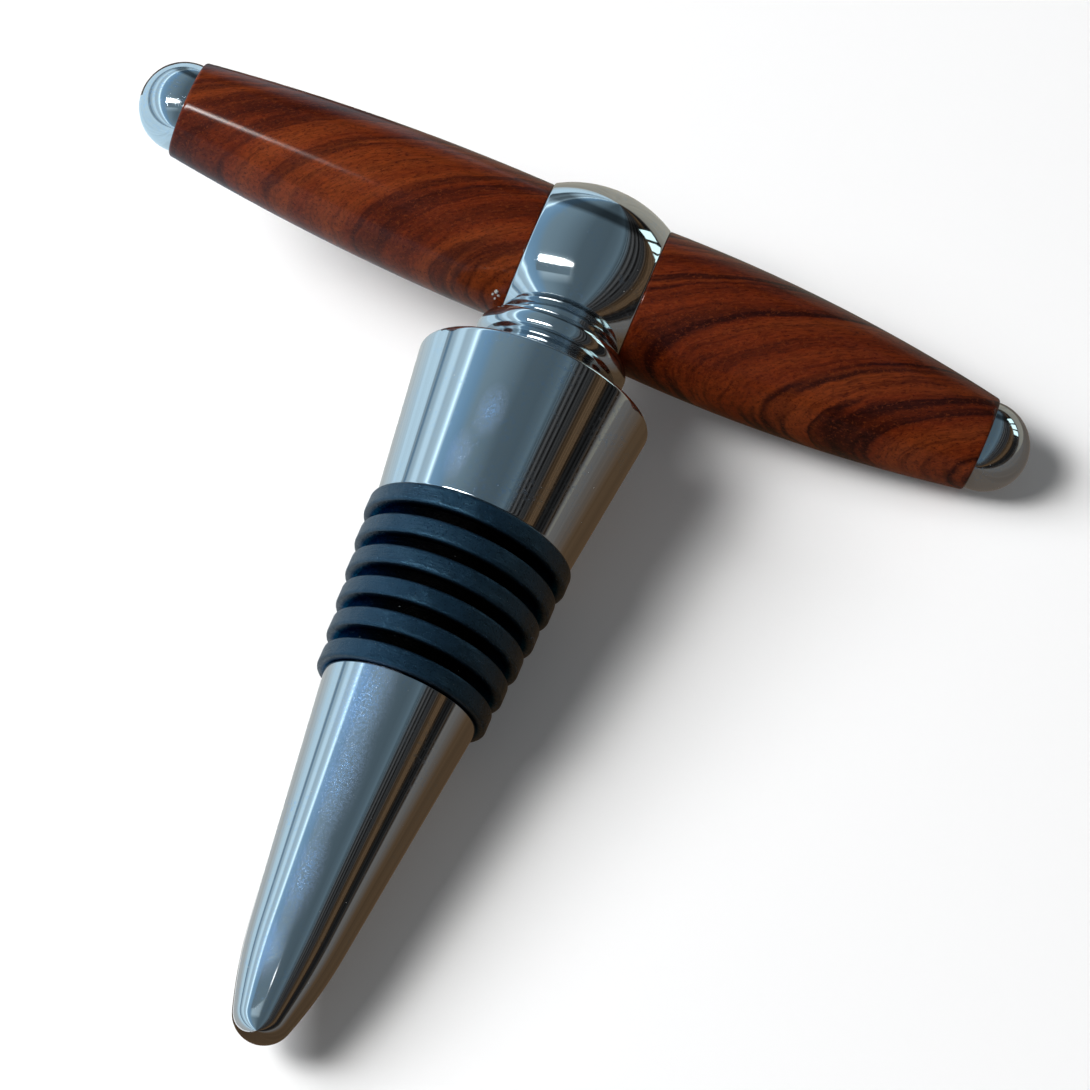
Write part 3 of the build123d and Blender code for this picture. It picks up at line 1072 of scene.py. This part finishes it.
def tent_material(studio):
    """Panels of a light tent, by the angle round the stem: pale blue at the left,
    slate overhead, dark at the right, and a dark band behind the handle."""
    material, nodes = bare_material("tent_panels")
    axes = nodes.axes(nodes.object_place())
    angle = nodes.math("ARCTAN2", axes[2], nodes.math("MULTIPLY", axes[0], -1.0))
    degrees = nodes.math("MULTIPLY", angle, 180 / math.pi)
    sky, blue, slate = Vector(studio.sky), Vector(studio.blue), Vector(studio.slate)
    shade, brown = Vector(studio.shade), Vector(studio.brown)
    # A Color Ramp holds up to 32 stops
    stops = [
        (0, blue * 0.55), (2, blue * 0.60), (4, sky * 0.66), (8, sky * 0.74),
        (12, sky * 1.15), (17, sky * 1.18), (20, sky * 0.74), (27, sky * 0.86),
        (30, sky * 1.30), (32, sky * 2.20), (34, sky * 1.10), (36, blue), (47, blue * 0.80),
        (55, slate * 2.30), (66, slate * 2.05), (80, slate * 1.50), (90, slate * 1.05),
        (108, slate * 0.95), (116, slate * 1.15), (121, slate * 1.45), (124, slate * 0.80),
        (130, shade * 5.0), (138, shade * 3.2), (146, shade * 2.6), (149, brown * 0.70),
        (160, brown * 0.85), (163, shade), (170, shade * 0.9), (174, shade * 2.4),
        (177, brown * 0.45), (180, shade * 8.0),
    ]
    panels = nodes.ramp(
        nodes.math("DIVIDE", degrees, 180.0), [(turn / 180, value) for turn, value in stops]
    )
    # Fine lines along the stem, at the right alone
    line_place = nodes.add("ShaderNodeCombineXYZ", {0: nodes.math("MULTIPLY", degrees, 0.42)})
    lines = nodes.noise(line_place.outputs[0], 1.0, 3.0, 0.7)
    lines = nodes.ramp(lines, [(0.42, 0.12), (0.50, 1.0), (0.58, 2.2)])
    right = nodes.math("GREATER_THAN", degrees, 124.0)
    panels = nodes.mix(right, panels, nodes.mix(1.0, panels, lines, "MULTIPLY"))
    # The dark band behind the handle
    back = nodes.math("DIVIDE", axes[1], TENT_RADIUS)
    band = nodes.ramp(back, [(0.76, 1.0), (0.83, 0.22), (0.91, 0.22), (0.95, 0.75)])
    nodes.show(nodes.light(nodes.mix(1.0, panels, band, "MULTIPLY")))
    return material


def add_plane(name, size=1.0):
    """A square plane at the origin."""
    select_only()
    bpy.ops.mesh.primitive_plane_add(size=size, location=(0.0, 0.0, 0.0))
    plane = bpy.context.object
    plane.name = name
    return plane


def add_floor(studio):
    """The pale floor, a little brighter where it is seen than the light on it makes it."""
    floor = add_plane("floor", FLOOR_SIZE)
    material, nodes = bare_material("floor")
    matt = nodes.add("ShaderNodeBsdfDiffuse", {0: (*studio.floor, 1.0)}).outputs[0]
    lift = nodes.light((1.0, 1.0, 1.0, 1.0), nodes.math("MULTIPLY", nodes.seen(), FLOOR_LIFT))
    nodes.show(nodes.both(matt, lift))
    floor.data.materials.append(material)


def add_tent(studio):
    """A dome about the object that only reflections see."""
    select_only()
    bpy.ops.mesh.primitive_uv_sphere_add(
        segments=64, ring_count=32, radius=TENT_RADIUS, location=(0.0, 0.0, 0.0)
    )
    tent = bpy.context.object
    tent.name = "light_tent"
    bpy.ops.object.mode_set(mode="EDIT")
    bpy.ops.mesh.select_all(action="SELECT")
    bpy.ops.mesh.bisect(
        plane_co=(0.0, 0.0, TENT_FOOT), plane_no=(0.0, 0.0, 1.0), clear_inner=True
    )
    bpy.ops.object.mode_set(mode="OBJECT")
    tent.data.materials.append(tent_material(studio))
    only_in_reflections(tent)


def add_card(name, centre, along, size, material):
    """A flat card that faces the object, its long side along the given way,
    and only shows in reflections."""
    card = add_plane(name)
    facing = -Vector(centre).normalized()
    long_side = Vector(along)
    long_side = (long_side - long_side.dot(facing) * facing).normalized()
    turn = Matrix((long_side, facing.cross(long_side), facing)).transposed().to_4x4()
    scale = Matrix.Diagonal((size[0], size[1], 1.0, 1.0))
    card.matrix_world = Matrix.Translation(centre) @ turn @ scale
    card.data.materials.append(material)
    only_in_reflections(card)


def soft_material(name, tint, strength, lengthwise, sideways):
    """A light whose level changes along its card and fades to its sides."""
    material, nodes = bare_material(name)
    axes = nodes.axes(nodes.object_place())
    share = nodes.ramp(nodes.math("ADD", axes[0], 0.5), lengthwise)
    side = nodes.math("MULTIPLY", nodes.math("ABSOLUTE", axes[1]), 2.0)
    share = nodes.math("MULTIPLY", share, nodes.ramp(side, sideways))
    light = nodes.light((*tint, 1.0), nodes.math("MULTIPLY", share, strength))
    # Where the light ends, the card lets the tent behind it show
    clear = nodes.add("ShaderNodeBsdfTransparent").outputs[0]
    nodes.show(nodes.both(clear, light))
    return material


def flag_material(studio):
    """A plain grey that hides what is behind it."""
    material, nodes = bare_material("flag_card")
    nodes.show(nodes.light((*Vector(studio.slate) * 1.6, 1.0)))
    return material


def add_floor_card(name, centre, size, tones):
    """A card that lies on the floor, its tones given by the distance in millimetres
    from the stem, and only shows in reflections."""
    card = add_plane(name)
    card.scale = (*size, 1.0)
    card.location = centre
    bpy.ops.object.transform_apply(location=True, rotation=True, scale=True)
    material, nodes = bare_material(name)
    place = nodes.object_place()
    away = nodes.math("DIVIDE", nodes.math("ABSOLUTE", nodes.axes(place)[0]), FAR_TONE)
    tone = nodes.ramp(away, [(far * MM / FAR_TONE, value) for far, value in tones])
    grain = nodes.noise(nodes.stretched(place, (260.0, 12.0, 1.0)), 1.0, 3.0)
    grain = nodes.ramp(grain, [(0.3, 0.85), (0.7, 1.12)])
    nodes.show(nodes.light(nodes.mix(1.0, tone, grain, "MULTIPLY")))
    card.data.materials.append(material)
    only_in_reflections(card)


def add_floor_cards(studio):
    """A pale blue card left of the stem, a brown one right of it, a tan one behind,
    and a dark one that keeps the left grip's upper edge from shining."""
    sky = Vector(studio.sky)
    brown = Vector(studio.brown)
    grey = Vector((0.17, 0.16, 0.15))
    pale = Vector((0.55, 0.58, 0.58))
    tan = Vector((0.42, 0.40, 0.34))
    wood = Vector((0.10, 0.08, 0.07))
    add_floor_card("left_card", (-1.01, 0.0, 0.0002), (2.0, 4.0), [
        (0, pale), (18, pale), (34, pale.lerp(sky, 0.5)), (55, sky * 1.05), (240, sky * 1.12),
        (300, sky * 0.5),
    ])
    add_floor_card("grip_card", (-0.045, 0.067, 0.0003), (0.064, 0.036), [
        (0, wood), (300, wood),
    ])
    add_floor_card("right_card", (0.992, 0.0, 0.0003), (2.0, 4.0), [
        (0, brown * 0.80), (16, brown * 0.80), (26, brown), (38, brown.lerp(grey, 0.45)),
        (75, grey), (300, grey * 1.15),
    ])
    add_floor_card("back_card", (0.27, 0.43, 0.0004), (0.60, 0.75), [
        (0, tan), (60, tan * 0.8), (300, tan * 0.6),
    ])


def add_reflection_cards(studio):
    """The lamp over the handle with its halo, a grey flag that keeps this lamp off the
    nose's tip, and three panes low behind the right."""
    lamp = soft_material(
        "lamp_card", studio.glow, 80.0,
        [(0.0, 0.9), (0.62, 1.0), (0.80, 0.18), (1.0, 0.0)],
        [(0.28, 1.0), (0.50, 0.10), (1.0, 0.0)],
    )
    add_card("lamp_card", LAMP_CARD_PLACE, ALONG_HANDLE, (0.66, 0.20), lamp)
    halo = soft_material(
        "halo_card", (0.80, 0.95, 1.0), 0.30,
        [(0.0, 0.0), (0.2, 1.0), (0.8, 1.0), (1.0, 0.0)], [(0.4, 1.0), (1.0, 0.0)],
    )
    add_card("halo_card", HALO_PLACE, ALONG_HANDLE, (0.75, 0.70), halo)
    add_card("flag_card", FLAG_PLACE, ALONG_HANDLE, (0.20, 0.062), flag_material(studio))
    even = [(0.0, 1.0), (1.0, 1.0)]
    pane = soft_material("pane_card", (0.75, 1.0, 1.0), 1.7, even, even)
    for number, degrees in enumerate(PANE_TURNS, start=1):
        turn = math.radians(degrees)
        centre = (PANE_DISTANCE * math.cos(turn), PANE_DISTANCE * math.sin(turn), PANE_HEIGHT)
        along = (-math.sin(turn), math.cos(turn), 0.0)
        add_card(f"pane_card_{number}", centre, along, (0.19, 0.30), pane)


def add_lamp(name, place, size, watts, tint):
    """A square soft lamp that points at the object."""
    lamp = bpy.data.lights.new(name, "AREA")
    lamp.shape = "SQUARE"
    lamp.size = size
    lamp.energy = watts
    lamp.color = tint
    holder = bpy.data.objects.new(name, lamp)
    bpy.context.scene.collection.objects.link(holder)
    holder.location = place
    holder.rotation_euler = (-Vector(place)).to_track_quat("-Z", "Y").to_euler()
    holder.visible_glossy = False


def add_world():
    """Even pale light from all round, white where it is seen."""
    world = bpy.data.worlds.new("studio")
    bpy.context.scene.world = world
    world.use_nodes = True
    world.node_tree.nodes.clear()
    nodes = Nodes(world.node_tree)
    rest = nodes.math("MULTIPLY", nodes.seen(), 1.0 - WORLD_LIGHT)
    inputs = {0: (0.96, 0.98, 1.0, 1.0), 1: nodes.math("ADD", rest, WORLD_LIGHT)}
    light = nodes.add("ShaderNodeBackground", inputs).outputs[0]
    nodes.show(light, "ShaderNodeOutputWorld")


def add_camera():
    """The camera at the photograph's angle."""
    camera = bpy.data.cameras.new("camera")
    camera.lens = LENS
    camera.sensor_width = SENSOR_WIDTH
    camera.clip_start = 0.01
    camera.clip_end = 20.0
    holder = bpy.data.objects.new("camera", camera)
    bpy.context.scene.collection.objects.link(holder)
    right = Vector(CAMERA_RIGHT).normalized()
    forward = Vector(CAMERA_FORWARD).normalized()
    up = right.cross(forward).normalized()
    turned = Matrix((right, up, -forward)).transposed().to_4x4()
    holder.matrix_world = Matrix.Translation(Vector(CAMERA_PLACE) * MM) @ turned
    bpy.context.scene.camera = holder


class STOPPER_OT_stage(bpy.types.Operator):
    """Set up the floor, the lights and the camera"""

    bl_idname = "stopper.stage"
    bl_label = "Stage"

    def execute(self, context):
        studio = context.scene.stopper_studio
        add_floor(studio)
        add_tent(studio)
        add_floor_cards(studio)
        add_reflection_cards(studio)
        for lamp in LAMPS:
            add_lamp(*lamp)
        add_world()
        add_camera()
        context.scene.view_settings.view_transform = "Standard"
        return {"FINISHED"}


class STOPPER_PT_sidebar(bpy.types.Panel):
    """The stopper's settings and its operators"""

    bl_idname = "STOPPER_PT_sidebar"
    bl_label = "Bottle stopper"
    bl_space_type = "VIEW_3D"
    bl_region_type = "UI"
    bl_category = "Stopper"

    def draw(self, context):
        for operator in OPERATORS:
            self.layout.operator(operator.bl_idname)
        for key in GROUPS:
            group = getattr(context.scene, key)
            box = self.layout.box()
            for prop in group.bl_rna.properties:
                if prop.identifier not in {"rna_type", "name"}:
                    box.prop(group, prop.identifier)


OPERATORS = (
    STOPPER_OT_hub,
    STOPPER_OT_grips,
    STOPPER_OT_caps,
    STOPPER_OT_body,
    STOPPER_OT_sleeve,
    STOPPER_OT_crumbs,
    STOPPER_OT_steel,
    STOPPER_OT_stage,
)


def register():
    for group in GROUPS.values():
        bpy.utils.register_class(group)
    for key, group in GROUPS.items():
        setattr(bpy.types.Scene, key, bpy.props.PointerProperty(type=group))
    for operator in OPERATORS:
        bpy.utils.register_class(operator)
    bpy.utils.register_class(STOPPER_PT_sidebar)


def unregister():
    bpy.utils.unregister_class(STOPPER_PT_sidebar)
    for operator in reversed(OPERATORS):
        bpy.utils.unregister_class(operator)
    for key in GROUPS:
        delattr(bpy.types.Scene, key)
    for group in GROUPS.values():
        bpy.utils.unregister_class(group)


def main():
    register()
    bpy.ops.stopper.hub()
    bpy.ops.stopper.grips()
    bpy.ops.stopper.caps()
    bpy.ops.stopper.body()
    bpy.ops.stopper.sleeve()
    bpy.ops.stopper.crumbs()
    bpy.ops.stopper.steel()
    bpy.ops.stopper.stage()
    bpy.context.view_layer.update()


if __name__ == "__main__":
    main()
